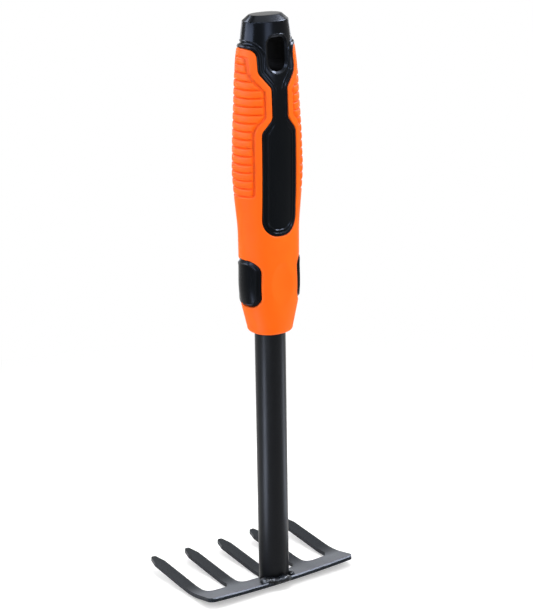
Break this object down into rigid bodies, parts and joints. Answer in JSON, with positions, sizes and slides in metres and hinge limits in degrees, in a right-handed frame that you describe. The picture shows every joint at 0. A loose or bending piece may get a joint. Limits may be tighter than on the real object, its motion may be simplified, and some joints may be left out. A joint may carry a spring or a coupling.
{
  "type": "hand rake",
  "caption": "Short garden hand rake: a bent steel head with flat pointed tines, a black steel tube and a black and orange moulded grip with ribbed sides and a hanging slot.",
  "frame": {"origin": "centre of the hanging slot in the handle's cap, on the tube's axis", "axes": "+Z along the tube from the head to the cap, +Y the way the tines point, +X along the head's bar to the viewer's right when the label panel (facing -Y) is looked at"},
  "size_m": [0.093, 0.0649, 0.3044],
  "materials": {
    "head_steel": "satin grey-black powder coat over sheet steel",
    "tube_steel": "semi-gloss black powder coat over steel tube",
    "weld_metal": "coated weld beads with a brighter, lumpy skin",
    "black_plastic": "smooth moulded polypropylene, semi-gloss",
    "orange_rubber": "matt orange thermoplastic rubber"
  },
  "bodies": {
    "root": {"rake_head": "head_steel", "shaft_tube": "tube_steel", "weld_front_left": "weld_metal", "weld_front": "weld_metal", "weld_front_right": "weld_metal", "weld_right": "weld_metal", "weld_back": "weld_metal", "handle_core": "black_plastic", "grip_overmould": "orange_rubber"}
  },
  "joints": []
}
